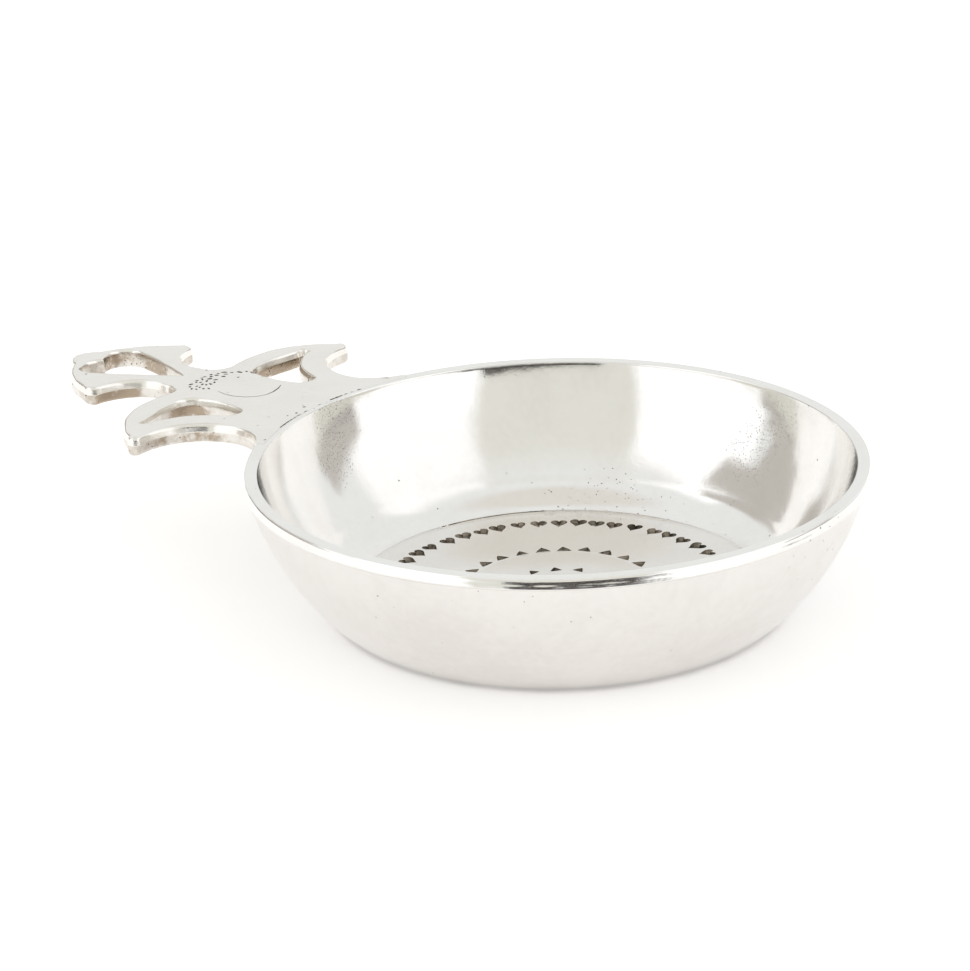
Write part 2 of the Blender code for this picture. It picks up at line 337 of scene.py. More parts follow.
def addPlaces(tree, where, socket, places):
    # a socket's own value, and more of it near some places
    total = socket.default_value
    for place, reach, extra in places:
        total = calc(tree, "MULTIPLY_ADD", nearPlace(tree, where, place, reach), extra, total)
    if places:
        tree.links.new(total, socket)


def makeMetal(name, finish):
    material = bpy.data.materials.new(name)
    material.use_nodes = True
    tree = material.node_tree
    shader = tree.nodes["Principled BSDF"]
    shader.inputs["Metallic"].default_value = metalLook["metallic"]
    where = addNode(tree, "TexCoord").outputs["Object"]
    skin = useGroup(tree, castSkin, {"Grain": finish["grain"], "Patches": finish["patches"],
                                     "Swell": finish["swell"]})
    film = useGroup(tree, tarnish, {"Clean": (*finish["clean"], 1), "Film": (*finish["film"], 1)})
    film.inputs["Amount"].default_value = finish["filmAmount"]
    film.inputs["Scale"].default_value = finish["filmScale"]
    addPlaces(tree, where, film.inputs["Amount"], finish.get("filmPlaces", ()))
    holes = useGroup(tree, pits, {"Scale": finish["pitScale"], "Share": finish["pitShare"]})
    addPlaces(tree, where, holes.inputs["Share"], finish.get("pitPlaces", ()))
    colour = mixColour(tree, holes.outputs["Mask"], film.outputs["Colour"], finish["pitColour"])
    height = calc(tree, "MULTIPLY_ADD", holes.outputs["Mask"], -finish["pitDepth"], skin.outputs["Height"])
    if "specks" in finish:  # fine dark grain in a few places
        specks = finish["specks"]
        grains = useGroup(tree, pits, {"Scale": specks["scale"], "Share": specks["share"]})
        addPlaces(tree, where, grains.inputs["Share"], specks["places"])
        colour = mixColour(tree, grains.outputs["Mask"], colour, specks["colour"])
        height = calc(tree, "MULTIPLY_ADD", grains.outputs["Mask"], -specks["depth"], height)
    rough = calc(tree, "MULTIPLY_ADD", skin.outputs["Patch"], finish["patchRough"], finish["rough"])
    rough = calc(tree, "MULTIPLY_ADD", film.outputs["Film Mask"], finish["filmRough"], rough)
    rough = calc(tree, "MULTIPLY_ADD", holes.outputs["Mask"], metalLook["pitRough"], rough)
    bump = addNode(tree, "Bump", {"Strength": 1.0, "Distance": finish["bump"]}, {"Height": height})
    tree.links.new(colour, shader.inputs["Base Color"])
    tree.links.new(rough, shader.inputs["Roughness"])
    tree.links.new(bump.outputs["Normal"], shader.inputs["Normal"])
    return material


# Places in a finish: the spot and its reach in millimetres, and what is added there
bowlPewter = makeMetal("bowlPewter", dict(
    clean=(0.922, 0.912, 0.895), film=(0.85, 0.83, 0.80), filmAmount=0.5, filmRough=0.04, filmScale=95.0,
    rough=0.095, patchRough=0.05, grain=0.5, patches=0.9, swell=1.8, bump=0.0085 * mm,
    pitScale=2300.0, pitShare=0.0015, pitColour=(0.14, 0.11, 0.085), pitDepth=5.0,
    pitPlaces=[((-13.5, 33.5, 3.0), 10, 0.2), ((-4.0, 37.2, 4.5), 7, 0.06), ((-19.5, 31.0, 3.0), 7, 0.08),
               ((9.0, 36.0, 4.0), 9, 0.03), ((51.0, 2.0, 24.0), 14, 0.07)],
    specks=dict(scale=3500.0, share=0.0, colour=(0.44, 0.41, 0.37), depth=8.0,
                places=[((-49.6, 2.5, 22.0), 6.5, 0.9), ((-47.6, -1.0, 15.8), 6, 0.8),
                        ((10.0, 44.8, 13.0), 7, 0.6), ((14.5, 46.3, 19.5), 7, 0.6)]),
))
# the outside's pewter is a darker copy of the inside's: painted shade that dims the floor the outer wall
# reflects
outerPewterShaded = makeMetal("outerPewterShaded", dict(
    clean=(0.84, 0.815, 0.79), film=(0.73, 0.70, 0.67), filmAmount=0.5, filmRough=0.05, filmScale=60.0,
    rough=0.15, patchRough=0.07, grain=0.9, patches=1.6, swell=3.5, bump=0.0085 * mm,
    pitScale=2300.0, pitShare=0.004, pitColour=(0.30, 0.26, 0.22), pitDepth=5.0,
    pitPlaces=[((51.0, 2.0, 23.0), 14, 0.05), ((28.0, -40.0, 22.0), 9, 0.02)],
))
# the foot's pewter is painted dark: painted shade that draws the contact shadow line along the base edge
footContactShade = makeMetal("footContactShade", dict(
    clean=(0.47, 0.44, 0.41), film=(0.25, 0.225, 0.20), filmAmount=0.7, filmRough=0.1, filmScale=120.0,
    rough=0.34, patchRough=0.08, grain=1.4, patches=1.4, swell=3.0, bump=0.012 * mm,
    pitScale=1500.0, pitShare=0.03, pitColour=(0.16, 0.13, 0.11), pitDepth=5.0,
))
earPewter = makeMetal("earPewter", dict(
    clean=(0.91, 0.89, 0.855), film=(0.78, 0.73, 0.66), filmAmount=0.25, filmRough=0.06, filmScale=95.0,
    rough=0.16, patchRough=0.06, grain=0.9, patches=1.2, swell=2.4, bump=0.0085 * mm,
    pitScale=1100.0, pitShare=0.012, pitColour=(0.20, 0.16, 0.12), pitDepth=5.0,
))
# the ear's side and hole walls: a darker, browner copy of the top's pewter with heavy film, most at the
# listed spots on the hole walls; partly tarnish, partly painted shade for the shaded floor these walls
# reflect
earSideTarnishAndShade = makeMetal("earSideTarnishAndShade", dict(
    clean=(0.84, 0.81, 0.765), film=(0.45, 0.365, 0.28), filmAmount=0.6, filmRough=0.03, filmScale=170.0,
    filmPlaces=[((-63.5, -19.0, 22.8), 8, 1.6), ((-89.6, -9.9, 22.5), 5, 2.0), ((-87.5, -7.2, 23.6), 3, 2.0),
                ((-100.0, 2.5, 22.8), 5, 2.0), ((-91.0, 4.5, 23.5), 6, 2.4), ((-72.2, -9.0, 23.5), 5, 1.8),
                ((-73.0, 16.0, 23.5), 7, 1.8)],
    rough=0.24, patchRough=0.1, grain=1.6, patches=1.6, swell=3.0, bump=0.012 * mm,
    pitScale=1000.0, pitShare=0.06, pitColour=(0.06, 0.045, 0.03), pitDepth=6.0,
    specks=dict(scale=2000.0, share=0.06, colour=(0.16, 0.12, 0.09), depth=3.0,
                places=[((-95.0, 4.0, 23.0), 9, 0.5), ((-74.0, 15.0, 23.0), 6, 0.3)]),
))
punchDirt = makeMetal("punchDirt", dict(
    clean=(0.30, 0.26, 0.21), film=(0.035, 0.028, 0.02), filmAmount=1.0, filmRough=0.2, filmScale=240.0,
    rough=0.36, patchRough=0.1, grain=2.0, patches=1.0, swell=2.0, bump=0.012 * mm,
    pitScale=2200.0, pitShare=0.25, pitColour=(0.02, 0.015, 0.01), pitDepth=3.0,
))
solderGrey = makeMetal("solderGrey", dict(
    clean=(0.62, 0.595, 0.56), film=(0.36, 0.33, 0.29), filmAmount=0.8, filmRough=0.12, filmScale=160.0,
    rough=0.3, patchRough=0.1, grain=1.2, patches=1.0, swell=5.0, bump=0.012 * mm,
    pitScale=1000.0, pitShare=0.06, pitColour=(0.12, 0.10, 0.08), pitDepth=5.0,
))
print("materials made")

# Bowl
bowlShape = dict(
    baseRadius=37.5 * mm, baseRounding=0.7 * mm, baseUnder=2.2 * mm, wallBow=2.4 * mm, wall=2.3 * mm,
    floor=2.3 * mm, floorRadius=35.0 * mm, cove=4.2 * mm, coveHollow=0.6 * mm,
    lipInner=0.27 * mm, lipSoft=0.1 * mm,
    bandSteps=((0.12 * mm, 33.0), (0.1 * mm, 26.0), (0.5 * mm, 12.7), (0.3 * mm, 15.4), (0.4 * mm, 12.2)),
    lipFlat=0.12 * mm, bandProud=0.42 * mm, bandFoot=0.45 * mm, bandBow=0.15,
    dents=((0.026 * mm, 95.0), (0.006 * mm, 420.0)),
    bandDent=0.014 * mm, bandZone=(1.6 * mm, 1.2 * mm), bandRate=(380, 1500),
    sides=480, wallSteps=44, sharp=14, seam=0.03 * mm, seatSpare=4 * mm,
)
floorMarks = dict(
    heartRadius=28.6 * mm, heartCount=52, heartFirst=126.0, heartWander=0.12,
    heartWidth=2.9 * mm, heartLength=3.2 * mm, heartDepth=0.6 * mm, heartWorn=0.2,
    heartSteps=((0.93, 0.35), (0.74, 0.9), (0.58, 1.0)),  # share of the outline and of the depth
    wedgeRadius=16.7 * mm, wedgeCount=27, wedgeFirst=122.4, wedgeWander=0.05,
    wedgeWidth=2.6 * mm, wedgeLength=2.0 * mm, wedgeDepth=0.5 * mm, wedgeHollow=0.04,
    wedgeSteps=((0.92, 0.35), (0.65, 0.9), (0.35, 1.0)),
    middleRadius=7.8 * mm, middleCount=12, middleFirst=130.0, middleWander=0.06, middleSize=0.8,
    drift=0.25, twist=9, markScale=(0.9, 1.06), depthRange=(0.8, 1.1),  # how uneven the punching is
    grooveRadius=15.3 * mm, grooveWidth=0.8 * mm, grooveDepth=0.018 * mm,
    edgeRadius=34.7 * mm, edgeWidth=0.36 * mm, edgeDepth=0.2 * mm, edgeFrom=128.0, edgeTo=163.0,
    edgeFade=6, edgeRagged=0.6, edgeRate=40, edgeDirty=0.3,
)


def wallArc(shape):
    across, up = rimRadius - shape["baseRadius"], rimTop
    chord = math.hypot(across, up)
    radius = chord * chord / (8 * shape["wallBow"]) + shape["wallBow"] / 2
    back = radius - shape["wallBow"]
    middle = ((rimRadius + shape["baseRadius"]) / 2, rimTop / 2)
    return (middle[0] - back * up / chord, middle[1] + back * across / chord), radius


def wallRadius(shape, height, inset):
    centre, radius = wallArc(shape)
    return centre[0] + math.sqrt((radius - inset) ** 2 - (height - centre[1]) ** 2)


def wallPoints(shape, low, high, inset, steps):
    heights = [low + (high - low) * step / steps for step in range(steps + 1)]
    return [(wallRadius(shape, height, inset), height) for height in heights]


def bowlSection(shape):
    # from the floor's edge up the inside, over the lip and down to the base
    # also gives where the outside and the foot start
    soft, ease, steps = shape["lipSoft"], shape["lipInner"], shape["wallSteps"]
    inner = wallPoints(shape, shape["floor"] + shape["cove"], rimTop - ease, shape["wall"], steps)
    start = (shape["floorRadius"], shape["floor"])
    points = [start] + arcBetween(start, inner[0], -shape["coveHollow"], 14) + inner[1:]
    topInner = (inner[-1][0] + ease, rimTop)
    points += arcBetween(inner[-1], topInner, ease * quarterBow, 8)
    lowHeight = rimTop - soft - sum(tall for tall, _ in shape["bandSteps"])
    band = [(wallRadius(shape, lowHeight, 0) + shape["bandProud"], lowHeight)]
    for tall, lean in reversed(shape["bandSteps"]):
        band.insert(0, (band[0][0] - tall * math.tan(math.radians(lean)), band[0][1] + tall))
    topOuter = (band[0][0] - soft, rimTop)
    inset = shape["lipFlat"]  # keeps the lip's flat top flat to its edges
    points += [(topInner[0] + inset, rimTop)]
    points += lineBetween(points[-1], (topOuter[0] - inset, rimTop), 3) + [topOuter]
    points += arcBetween(topOuter, band[0], soft * quarterBow, 6)
    for here, there in zip(band, band[1:]):
        points += lineBetween(here, there, 4)
    wall = wallPoints(shape, shape["baseRounding"], lowHeight - shape["bandFoot"], 0, steps)[::-1]
    points += arcBetween(band[-1], wall[0], shape["bandProud"] * shape["bandBow"], 5)
    outside = len(points) - 4
    points += wall[1:]
    foothold = len(points) - 1
    foot = (shape["baseRadius"] - shape["baseUnder"], 0.0)
    points += arcBetween(points[-1], foot, shape["baseRounding"] / 5, 8)
    return points, outside, foothold


def heartOutline(width, length):
    # the usual heart curve, 32 wide and 29 tall, brought to size
    points = []
    for t in turnsRound(26):
        x = 16 * math.sin(t) ** 3
        y = 13 * math.cos(t) - 5 * math.cos(2 * t) - 2 * math.cos(3 * t) - math.cos(4 * t)
        points.append((x / 32 * width, (y + 2.5) / 29 * length))
    return list(reversed(points))


def wedgeOutline(width, length, hollow):
    corners = [(-width / 2, -length / 2), (width / 2, -length / 2), (0, length / 2)]
    points = []
    for here, there in zip(corners, corners[1:] + corners[:1]):
        points += arcBetween(here, there, -hollow * width, 5)
    return points


def placeMark(outline, radius, turn, lean, scale):
    # outline's y runs outward from the bowl's middle
    out = math.radians(turn)
    spin = math.radians(turn - 90 + lean)
    cosine, sine = math.cos(spin), math.sin(spin)
    return [(radius * math.cos(out) + scale * (x * cosine - y * sine),
             radius * math.sin(out) + scale * (x * sine + y * cosine)) for x, y in outline]


def ringOfMarks(marks, kind, outline):
    # spaced round the floor, each a little off its place
    placed = []
    radius, count, first = marks[kind + "Radius"], marks[kind + "Count"], marks[kind + "First"]
    drift, twist = marks["drift"], marks["twist"]
    for index in range(count):
        turn = first + 360 / count * (index + dice.uniform(-1, 1) * marks[kind + "Wander"])
        out = radius + dice.uniform(-drift, drift) * mm
        placed.append(placeMark(outline, out, turn, dice.uniform(-twist, twist),
                                dice.uniform(*marks["markScale"])))
    return placed


def dent(shape, place):
    total = sum(depth * noise.noise(place * rate) for depth, rate in shape["dents"])
    deep, wide = shape["bandZone"]
    if place.z > rimTop - deep and place.xy.length > rimRadius - wide:  # the lip's band is less even
        around, up = shape["bandRate"]
        total += shape["bandDent"] * noise.noise(Vector((place.x * around, place.y * around, place.z * up)))
    return total


def turnSection(mesh, shape, section, turns):
    # rings of a turned section, a little uneven away from the floor and the base
    rings = []
    for radius, height in section:
        rise = min(height / shape["cove"], 1.0) if radius > shape["floorRadius"] else 0.0
        loop = []
        for t in turns:
            place = Vector((radius * math.cos(t), radius * math.sin(t), height))
            out = radius + rise * dent(shape, place)
            loop.append(mesh.verts.new((out * math.cos(t), out * math.sin(t), height)))
        rings.append(loop)
    return rings


def groove(mesh, radius, width, depths, height, turns):
    rings = []
    for out, fall in ((width / 2, 0), (width / 5, 1), (-width / 5, 1), (-width / 2, 0)):
        r = radius + out
        rings.append([mesh.verts.new((r * math.cos(t), r * math.sin(t), height - fall * depth))
                      for t, depth in zip(turns, depths)])
    skinRings(mesh, rings)
    return rings[0], rings[-1]


def makeBowl(shape, marks, ear):
    mesh = bmesh.new()
    brightSlot, dirtSlot, outerShadeSlot, footShadeSlot = range(4)
    turns = turnsRound(shape["sides"])
    section, outside, foothold = bowlSection(shape)
    rings = turnSection(mesh, shape, section, turns)
    skinRings(mesh, rings[:outside + 1], brightSlot)
    # the outer wall takes the darker copy of the pewter, painted shade
    skinRings(mesh, rings[outside:foothold + 1], outerShadeSlot)
    # the base rounding and the underside take the dark foot finish, a painted contact shadow
    skinRings(mesh, rings[foothold:], footShadeSlot)
    mesh.faces.new(rings[-1]).material_index = footShadeSlot
    floor = shape["floor"]
    depths = []
    for t in turns:  # the floor's edge is only scored for part of the way round
        degrees = math.degrees(t)
        inside = min(degrees - marks["edgeFrom"], marks["edgeTo"] - degrees) / marks["edgeFade"]
        inside += marks["edgeRagged"] * noise.noise(Vector((t * marks["edgeRate"], 0, 0)))
        depths.append(marks["edgeDepth"] * min(1.0, max(0.0, inside)))
    edgeOut, edgeIn = groove(mesh, marks["edgeRadius"], marks["edgeWidth"], depths, floor, turns)
    for vert, depth in zip(edgeOut, depths):
        for face in vert.link_faces:
            face.material_index = dirtSlot if depth > marks["edgeDirty"] * marks["edgeDepth"] else brightSlot
    grooveOut, grooveIn = groove(mesh, marks["grooveRadius"], marks["grooveWidth"],
                                 [marks["grooveDepth"]] * len(turns), floor, turns)
    width, length, hollow = marks["wedgeWidth"], marks["wedgeLength"], marks["wedgeHollow"]
    small = marks["middleSize"]
    hearts = ringOfMarks(marks, "heart", heartOutline(marks["heartWidth"], marks["heartLength"]))
    wedges = ringOfMarks(marks, "wedge", wedgeOutline(width, length, hollow))
    middle = ringOfMarks(marks, "middle", wedgeOutline(width * small, length * small, hollow))
    fillFlat(mesh, floor, rings[0], [edgeOut], [])
    outerLoops = fillFlat(mesh, floor, edgeIn, [grooveOut], hearts + wedges)
    innerLoops = fillFlat(mesh, floor, grooveIn, [], middle)
    for loop in outerLoops[:len(hearts)]:
        depth = marks["heartDepth"] * dice.uniform(*marks["depthRange"])
        floorSlot = brightSlot if dice.random() < marks["heartWorn"] else dirtSlot
        sink(mesh, loop, depth, marks["heartSteps"], dirtSlot, floorSlot)
    for loop in outerLoops[len(hearts):] + innerLoops:
        depth = marks["wedgeDepth"] * dice.uniform(*marks["depthRange"])
        sink(mesh, loop, depth, marks["wedgeSteps"], dirtSlot)
    bowl = newPiece("bowlBody", mesh, [bowlPewter, punchDirt, outerPewterShaded, footContactShade])
    # seat for the ear's tongue
    half = rootAngle(ear) + shape["seam"] / rimRadius
    inner = rimRadius - ear["lap"] - shape["seam"]
    spare = shape["seatSpare"]
    seat = roundArc((0, 0), inner, -half, half, 60) + roundArc((0, 0), rimRadius + spare, half, -half, 20)
    guide = bmesh.new()
    seatRings = [ring(guide, alongEar(seat), rimTop - ear["tongue"] - shape["seam"]),
                 ring(guide, alongEar(seat), rimTop + spare)]
    skinRings(guide, seatRings)
    for loop in seatRings:
        guide.faces.new(loop)
    carve(bowl, newPiece("seatGuide", guide, []))
    settle(bowl, shape["sharp"], "pewter_bowl", "bowl")


# Ear
earShape = dict(
    thickness=3.5 * mm, underRounding=0.8 * mm, edgeLean=11.2,
    outerEdge=(0.75 * mm, 0.95 * mm), holeEdge=(0.6 * mm, 0.9 * mm), heartEdge=(0.55 * mm, 0.2 * mm),
    reach=53.8 * mm, lap=1.6 * mm, tongue=2.0 * mm,
    neckWidth=31.6 * mm, neckHollow=10.7 * mm, neckOut=4.0 * mm, rootHollow=9.5 * mm, neckTurn=10.0,
    sideSpan=59.0 * mm, sideCrest=26.0 * mm, sideHorn=2.8 * mm, sideBow=2.0 * mm,
    valleyDrop=0.5 * mm, valleyWidth=3.4 * mm, valleyHollow=1.2 * mm,
    waistWidth=10.4 * mm, waistLength=3.4 * mm, waistHollow=2.9 * mm,
    endSpan=27.4 * mm, endHorn=3.0 * mm, endLength=13.0 * mm, endBow=1.1 * mm, hornBow=0.7 * mm,
    noseWidth=7.2 * mm, noseOut=2.6 * mm, noseBow=0.5 * mm,
    sideBand=4.8 * mm, middleWidth=15.0 * mm, hornTip=6.8 * mm, rootBand=8.2 * mm,
    holeCorner=1.2 * mm, holeTurn=4.0 * mm, holeSlant=2.2 * mm, holeEase=0.6 * mm,
    holeEndBow=1.0 * mm, holeSideBow=0.7 * mm,
    heartBand=5.0 * mm, heartWidth=13.6 * mm, heartLength=19.4 * mm, heartNotch=1.4 * mm,
    heartCheek=4.6 * mm, heartCrownBow=1.5 * mm, heartSideBow=0.4 * mm,
    endLean=1.5 * mm, leanFrom=82.0 * mm, leanTo=105.0 * mm,
    lumps=((0.28 * mm, 110.0, 40.0), (0.13 * mm, 330.0, 140.0)), lumpStart=3 * mm, lumpRun=6 * mm,
    squareRun=4 * mm, spare=2 * mm, sharp=24,
)
earMarks = dict(
    medalPlace=(69.7 * mm, 0.2 * mm), beadDepth=0.34 * mm, dashDepth=0.3 * mm, scribeDepth=0.16 * mm,
    # the rest in millimetres, degrees and shares
    beadRows=((7.6, -42, 82), (6.8, -44, 66), (6.0, -46, 40), (5.2, -48, 18), (4.4, -50, 0)),
    beadGap=0.34, beadSize=(0.2, 0.36), beadStretch=(1.2, 2.2), beadDrift=0.3, pitSpacing=0.06,
    scribe=[(70.3, -3.4), (68.4, -3.9), (66.3, -3.9), (64.3, -3.2), (62.7, -1.9), (61.9, -0.3),
            (61.8, 1.5), (62.2, 3.4), (62.9, 5.0)],
    scribeWidth=0.13, scribeEnd=0.35, scribeRange=(0.7, 1.1), scribeFloor=0.3,
    seamDashes=[(-13.2, 0.5, 0.09), (-11.9, 0.5, 0.14), (-10.6, 0.5, 0.10), (-9.3, 0.5, 0.08),
                (-7.9, 0.5, 0.07), (-6.4, 0.5, 0.08), (-3.9, 0.35, 0.10), (0.6, 0.3, 0.07),
                (4.5, 0.45, 0.15), (5.7, 0.45, 0.17), (6.8, 0.42, 0.14), (8.3, 0.3, 0.12),
                (9.9, 0.2, 0.08), (11.8, 0.32, 0.15)],
    seamOut=0.25, dashWiden=1.35,
    spots=[(52.2, -1.8, 0.24), (52.9, -1.2, 0.12), (51.4, -4.9, 0.24), (51.8, -6.8, 0.16),
           (79.4, 4.3, 0.2), (68.5, 6.7, 0.12), (54.2, -9.0, 0.1), (60.5, 9.8, 0.1)],
    pitSteps=((0.85, 0.4), (0.5, 0.9)), pitRange=(0.7, 1.1),
)


def hollowCentre(ear, hollow):
    return rimRadius + ear["neckOut"], ear["neckWidth"] / 2 + hollow


def rootAngle(ear):
    along, across = hollowCentre(ear, ear["rootHollow"])
    reach = math.hypot(along, across)
    inside = (reach * reach + rimRadius ** 2 - ear["rootHollow"] ** 2) / (2 * reach * rimRadius)
    return math.atan2(across, along) - math.acos(min(inside, 1.0))


def earOutline(ear):
    rootCentre = hollowCentre(ear, ear["rootHollow"])
    root = rootAngle(ear)
    meet = (rimRadius * math.cos(root), rimRadius * math.sin(root))
    first = math.atan2(meet[1] - rootCentre[1], meet[0] - rootCentre[0])
    side = roundArc(rootCentre, ear["rootHollow"], first, -math.pi / 2, 20)
    neckCentre = hollowCentre(ear, ear["neckHollow"])
    side += roundArc(neckCentre, ear["neckHollow"], -math.pi / 2, math.radians(ear["neckTurn"]), 30)[1:]
    crest = rimRadius + ear["sideCrest"]
    hornEnd = (side[-1][0] + ear["sideHorn"], side[-1][1])
    side += arcBetween(side[-1], hornEnd, ear["sideSpan"] / 2 - hornEnd[1], 10)
    shoulder = (crest, ear["sideSpan"] / 4)
    side += arcBetween(side[-1], shoulder, ear["sideBow"], 20)
    valley = (crest - ear["valleyDrop"], ear["waistWidth"] / 2 + ear["valleyWidth"])
    side += arcBetween(shoulder, valley, ear["valleyDrop"] / 2, 6)
    waist = (crest + ear["waistLength"] - ear["valleyDrop"], ear["waistWidth"] / 2)
    side += arcBetween(valley, waist, -ear["valleyHollow"], 12)
    nose = (rimRadius + ear["reach"], 0.0)
    noseFoot = (nose[0] - ear["noseOut"], ear["noseWidth"] / 2)
    hornStart = (noseFoot[0] - ear["endLength"], ear["endSpan"] / 2 - ear["hornBow"])
    side += arcBetween(waist, hornStart, -ear["waistHollow"], 20)
    hornEnd = (hornStart[0] + ear["endHorn"], hornStart[1])
    side += arcBetween(hornStart, hornEnd, ear["hornBow"], 8)
    side += arcBetween(hornEnd, noseFoot, ear["endBow"], 16)
    side += arcBetween(noseFoot, nose, ear["noseBow"], 8)
    back = rimRadius - ear["lap"] - ear["spare"]  # trimmed to the seat later
    lapArc = roundArc((0.0, 0.0), back, -root, root, 40)
    mirror = [(along, -across) for along, across in reversed(side[:-1])]
    return list(reversed(lapArc + side + mirror))


def sideHole(ear):
    centre = hollowCentre(ear, ear["neckHollow"])
    inner = ear["neckHollow"] + ear["sideBand"]
    low = ear["middleWidth"] / 2
    apex = ear["sideSpan"] / 2 - ear["hornTip"]
    outer = rimRadius + ear["sideCrest"] - ear["sideBand"]
    root = rimRadius + ear["rootBand"]
    ease, slack = ear["holeEase"], ear["holeCorner"]
    edgeFirst = math.acos((root + slack - centre[0]) / inner)
    edgeLast = math.asin((centre[1] - apex + slack) / inner)
    points = roundArc(centre, inner, -edgeFirst, -edgeLast, 16)
    start, top = points[0], (outer - slack, apex - slack)
    turn, corner = (outer, low + ear["holeTurn"]), (outer - ear["holeSlant"], low + ease)
    points += arcBetween(points[-1], top, ear["holeEndBow"], 10)
    points += arcBetween(top, turn, ear["holeSideBow"] / 2, 10)
    points += arcBetween(turn, corner, ear["holeSideBow"], 8)
    points += arcBetween(corner, (root + slack, low + ease), ear["holeSideBow"], 12)
    points += arcBetween(points[-1], start, ear["holeEndBow"], 10)[:-1]
    return points


def heartHole(ear):
    crown = rimRadius + ear["reach"] - ear["heartBand"]
    point = (crown - ear["heartLength"], 0.0)
    cheek = (crown - ear["heartCheek"], ear["heartWidth"] / 2 - ear["heartSideBow"])
    top = (crown, ear["heartWidth"] / 4)
    side = [point] + arcBetween(point, cheek, ear["heartSideBow"], 16)
    side += arcBetween(cheek, top, ear["heartCrownBow"], 14)
    side += arcBetween(top, (crown - ear["heartNotch"], 0.0), ear["heartSideBow"], 8)
    return side + [(along, -across) for along, across in reversed(side[1:-1])]


def alongEar(outline):
    # plan of the ear to the frame, where the ear points along -X
    return [(-along, across) for along, across in outline]


def leanEnd(ear, outline):
    # the end lobe leans a little to one side
    leaned = []
    for along, across in outline:
        share = max(0.0, (along - ear["leanFrom"]) / (ear["leanTo"] - ear["leanFrom"]))
        leaned.append((along, across - ear["endLean"] * share * share))
    return leaned


def easeIn(ear, outline, inset):
    # moved in by the rounding, but square where it meets the bowl
    eased = []
    for point, moved in zip(outline, moveLeft(outline, inset)):
        share = min(1.0, max(0.0, (math.hypot(*point) - rimRadius) / ear["squareRun"]))
        eased.append((point[0] + (moved[0] - point[0]) * share, point[1] + (moved[1] - point[1]) * share))
    return eased


def lumpy(ear, outline, height):
    # the cast edge is uneven along its length and over its height, but true where it meets the bowl
    moved = []
    for along, across in outline:
        for amount, rate, rise in ear["lumps"]:
            push = noise.noise_vector(Vector((along * rate, across * rate, height * rise))) * amount
            share = min(1.0, max(0.0, (along - rimRadius - ear["lumpStart"]) / ear["lumpRun"]))
            along, across = along + push.x * share, across + push.y * share
        moved.append((along, across))
    return moved


def roughSpot(place, size, stretch, turn, count=9):
    points = []
    for t in turnsRound(count):
        out = size * dice.uniform(0.8, 1.2)
        x, y = out * stretch * math.cos(t), out * math.sin(t)
        points.append((place[0] + x * math.cos(turn) - y * math.sin(turn),
                       place[1] + x * math.sin(turn) + y * math.cos(turn)))
    return points


def earMarkOutlines(ear, marks):
    # worn round medallion: pits between its beads and a scribed line on its other side
    # then pits along the seam
    pitsFound, taken = [], []

    def place(spot, size, stretch, turn):
        # three circles along a pit stand for it, and a pit that would touch another is left out
        arm, far = size * (stretch * 1.2 - 1.1), size * 1.22
        dots = [(spot[0] + arm * k * math.cos(turn), spot[1] + arm * k * math.sin(turn))
                for k in (-1, 0, 1)]
        if all(math.hypot(x - a, y - b) > far + reach + marks["pitSpacing"] * mm
               for x, y in dots for a, b, reach in taken):
            taken.extend((x, y, far) for x, y in dots)
            pitsFound.append(roughSpot(spot, size, stretch, turn))

    middle = marks["medalPlace"]
    for radius, first, last in marks["beadRows"]:
        count = int(math.radians(last - first) * radius / marks["beadGap"])
        for index in range(count + 1):
            t = math.radians(first + (last - first) * index / count) + dice.uniform(-0.04, 0.04)
            out = (radius + dice.uniform(-marks["beadDrift"], marks["beadDrift"])) * mm
            size = dice.uniform(*marks["beadSize"]) * mm
            place((middle[0] + out * math.cos(t), middle[1] + out * math.sin(t)), size,
                  dice.uniform(*marks["beadStretch"]), t + math.pi / 2 + dice.uniform(-0.9, 0.9))
    for along, across, size in marks["spots"]:
        place((along * mm, across * mm), size * mm, dice.uniform(1.0, 1.4), dice.uniform(0, 3))
    beads = len(pitsFound)
    seamRadius = rimRadius - ear["lap"] + marks["seamOut"] * mm
    for turn, length, width in marks["seamDashes"]:
        t = math.radians(turn)
        spot = (seamRadius * math.cos(t), seamRadius * math.sin(t))
        size = width * marks["dashWiden"] * mm
        pitsFound.append(roughSpot(spot, size, length / width, t + math.pi / 2, 11))
    centre = [(x * mm, y * mm) for x, y in marks["scribe"]]
    left, right = [], []
    for index, (x, y) in enumerate(centre):
        before, after = centre[max(index - 1, 0)], centre[min(index + 1, len(centre) - 1)]
        length = math.hypot(after[0] - before[0], after[1] - before[1])
        atEnd = index in (0, len(centre) - 1)
        share = marks["scribeEnd"] if atEnd else dice.uniform(*marks["scribeRange"])
        half = marks["scribeWidth"] * mm * share
        aside = ((before[1] - after[1]) / length * half, (after[0] - before[0]) / length * half)
        left.append((x + aside[0], y + aside[1]))
        right.append((x - aside[0], y - aside[1]))
    return pitsFound, left + right[::-1], beads


def edgeLevels(ear, low, high, soft, leaning):
    # inset and height of each ring from the underside up
    # first the lower rounding and the wall, then the leaning part and the top rounding
    bends, lean, curve = 8, math.radians(ear["edgeLean"]), ear["underRounding"]
    turns = [math.pi / 2 * bend / bends for bend in range(bends + 1)]
    under = [(curve * (1 - math.sin(a)), low + curve * (1 - math.cos(a))) for a in turns]
    brow = high - soft * (1 - math.sin(lean))
    back = leaning * math.tan(lean)
    over = [(back * share, brow - leaning * (1 - share)) for share in (0.0, 0.12, 0.88)]
    for a in (lean + (math.pi / 2 - lean) * bend / bends for bend in range(bends + 1)):
        over.append((back + soft * (math.cos(lean) - math.cos(a)), high - soft * (1 - math.sin(a))))
    waist = [(0.0, under[-1][1] + (over[0][1] - under[-1][1]) * k / 3) for k in (1, 2)]
    return under + waist, over


